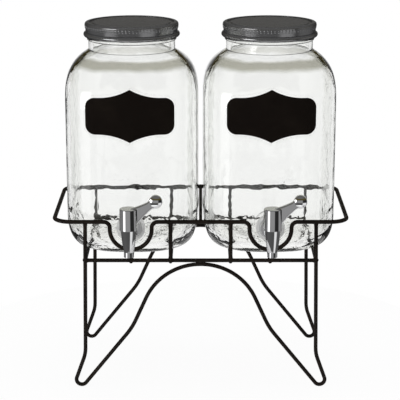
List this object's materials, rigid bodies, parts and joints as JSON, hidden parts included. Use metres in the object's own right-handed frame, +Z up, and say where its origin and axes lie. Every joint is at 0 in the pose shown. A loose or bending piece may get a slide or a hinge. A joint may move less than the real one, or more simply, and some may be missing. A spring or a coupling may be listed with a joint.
{
  "type": "twin glass drink dispenser",
  "caption": "Pair of square glass jars with screw lids, chalk labels and lever taps, held side by side in an arched wire stand with room for a cup.",
  "frame": {"origin": "centre of the bounding box's bottom face, on the table under the stand", "axes": "+X to the right seen from the front, +Y from the taps to the rear, +Z up"},
  "size_m": [0.3418, 0.2264, 0.4189],
  "materials": {
    "black_wire": "satin",
    "glass": "clear, moulded",
    "chalk_label": "matte",
    "lid_metal": "satin gunmetal",
    "gasket": "soft",
    "chrome": "polished",
    "plug": "smooth",
    "washer": "translucent",
    "nut": "moulded"
  },
  "bodies": {
    "stand": {"top_rail": "black_wire", "front_leg_wire": "black_wire", "rear_leg_wire": "black_wire", "front_crossbar": "black_wire", "rear_crossbar": "black_wire", "front_posts": "black_wire", "rear_posts": "black_wire", "left_side_rail": "black_wire", "right_side_rail": "black_wire", "left_support_wire": "black_wire", "right_support_wire": "black_wire", "left_inner_support_wire": "black_wire", "right_inner_support_wire": "black_wire", "centre_tie": "black_wire"},
    "left_dispenser": {"left_jar": "glass", "left_label": "chalk_label", "left_tap_body": "chrome", "left_outer_washer": "washer", "left_inner_washer": "washer", "left_lock_nut": "nut"},
    "left_lid": {"left_lid_disc": "lid_metal", "left_lid_gasket": "gasket"},
    "left_band": {"left_lid_band": "lid_metal"},
    "left_tap": {"left_tap_handle": "chrome", "left_valve_plug": "plug", "left_plug_rings": "gasket"},
    "right_dispenser": {"right_jar": "glass", "right_label": "chalk_label", "right_tap_body": "chrome", "right_outer_washer": "washer", "right_inner_washer": "washer", "right_lock_nut": "nut"},
    "right_lid": {"right_lid_disc": "lid_metal", "right_lid_gasket": "gasket"},
    "right_band": {"right_lid_band": "lid_metal"},
    "right_tap": {"right_tap_handle": "chrome", "right_valve_plug": "plug", "right_plug_rings": "gasket"}
  },
  "joints": [
    {"name": "left_jar_lift", "type": "slide", "parent": "stand", "child": "left_dispenser", "axis": [0, 0, 1], "range_m": [0, 0.12]},
    {"name": "left_lid_lift", "type": "slide", "parent": "left_dispenser", "child": "left_lid", "axis": [0, 0, 1], "range_m": [0, 0.14]},
    {"name": "left_band_twist", "type": "hinge", "parent": "left_lid", "child": "left_band", "pos_m": [-0.08, 0.02828, 0.41], "axis": [0, 0, 1], "continuous": true},
    {"name": "left_tap_turn", "type": "hinge", "parent": "left_dispenser", "child": "left_tap", "pos_m": [-0.08, -0.10278, 0.205], "axis": [0, 0, -1], "range_deg": [0, 90]},
    {"name": "right_jar_lift", "type": "slide", "parent": "stand", "child": "right_dispenser", "axis": [0, 0, 1], "range_m": [0, 0.12]},
    {"name": "right_lid_lift", "type": "slide", "parent": "right_dispenser", "child": "right_lid", "axis": [0, 0, 1], "range_m": [0, 0.14]},
    {"name": "right_band_twist", "type": "hinge", "parent": "right_lid", "child": "right_band", "pos_m": [0.08, 0.02828, 0.41], "axis": [0, 0, 1], "continuous": true},
    {"name": "right_tap_turn", "type": "hinge", "parent": "right_dispenser", "child": "right_tap", "pos_m": [0.08, -0.10278, 0.205], "axis": [0, 0, -1], "range_deg": [0, 90]}
  ]
}
